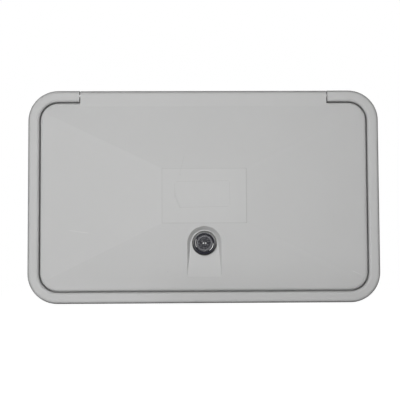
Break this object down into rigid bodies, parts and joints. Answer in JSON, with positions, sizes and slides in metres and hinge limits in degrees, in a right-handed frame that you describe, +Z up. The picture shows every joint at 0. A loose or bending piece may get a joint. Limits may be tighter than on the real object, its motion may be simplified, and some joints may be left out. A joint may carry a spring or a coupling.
{
  "type": "exterior shower box",
  "caption": "Recessed wall box with a flanged frame, a top-hinged pyramid-faced door with a turning cam lock, and a two-handle water mixer inside.",
  "frame": {"origin": "centre of the frame's flat back face, on the outer face of the wall", "axes": "+X to the right seen from the front, +Y into the wall, +Z up; the door faces -Y"},
  "size_m": [0.35, 0.1714, 0.212],
  "materials": {
    "housing_plastic": "fine matt grain, light neutral grey",
    "tub_plastic": "smooth matt, light grey",
    "door_plastic": "fine matt grain, light neutral grey",
    "pin_steel": "turned bright steel",
    "foam": "closed-cell foam, black",
    "lock_metal": "dark plated die casting",
    "cam_steel": "zinc-plated sheet steel",
    "mixer_plastic": "glossy off-white",
    "red_plastic": "glossy red",
    "blue_plastic": "glossy blue",
    "nut_plastic": "matt off-white",
    "outlet_metal": "bright plated brass"
  },
  "bodies": {
    "box": {"frame": "housing_plastic", "tub": "tub_plastic", "hinge_pin_left": "pin_steel", "hinge_pin_right": "pin_steel", "gasket": "foam", "keeper": "cam_steel", "keeper_rivets": "pin_steel", "mixer_plate": "mixer_plastic", "mixer_body": "mixer_plastic", "hot_handle": "mixer_plastic", "cold_handle": "mixer_plastic", "hot_button": "red_plastic", "cold_button": "blue_plastic", "hot_nut": "nut_plastic", "cold_nut": "nut_plastic", "hose_outlet": "outlet_metal", "outlet_collar": "outlet_metal", "spray_clip": "mixer_plastic", "clip_screws": "pin_steel"},
    "door_leaf": {"door": "door_plastic", "lock_housing": "lock_metal", "lock_washer": "cam_steel", "lock_nut": "lock_metal"},
    "lock_core": {"lock_plug": "lock_metal", "lock_cam": "cam_steel", "cam_screw": "pin_steel"}
  },
  "joints": [
    {"name": "door_hinge", "type": "hinge", "parent": "box", "child": "door_leaf", "pos_m": [0, -0.0082, 0.1012], "axis": [-1, 0, 0], "range_deg": [0, 120]},
    {"name": "lock_turn", "type": "hinge", "parent": "door_leaf", "child": "lock_core", "pos_m": [0, -0.0143, -0.0466], "axis": [0, 1, 0], "range_deg": [0, 90]}
  ]
}
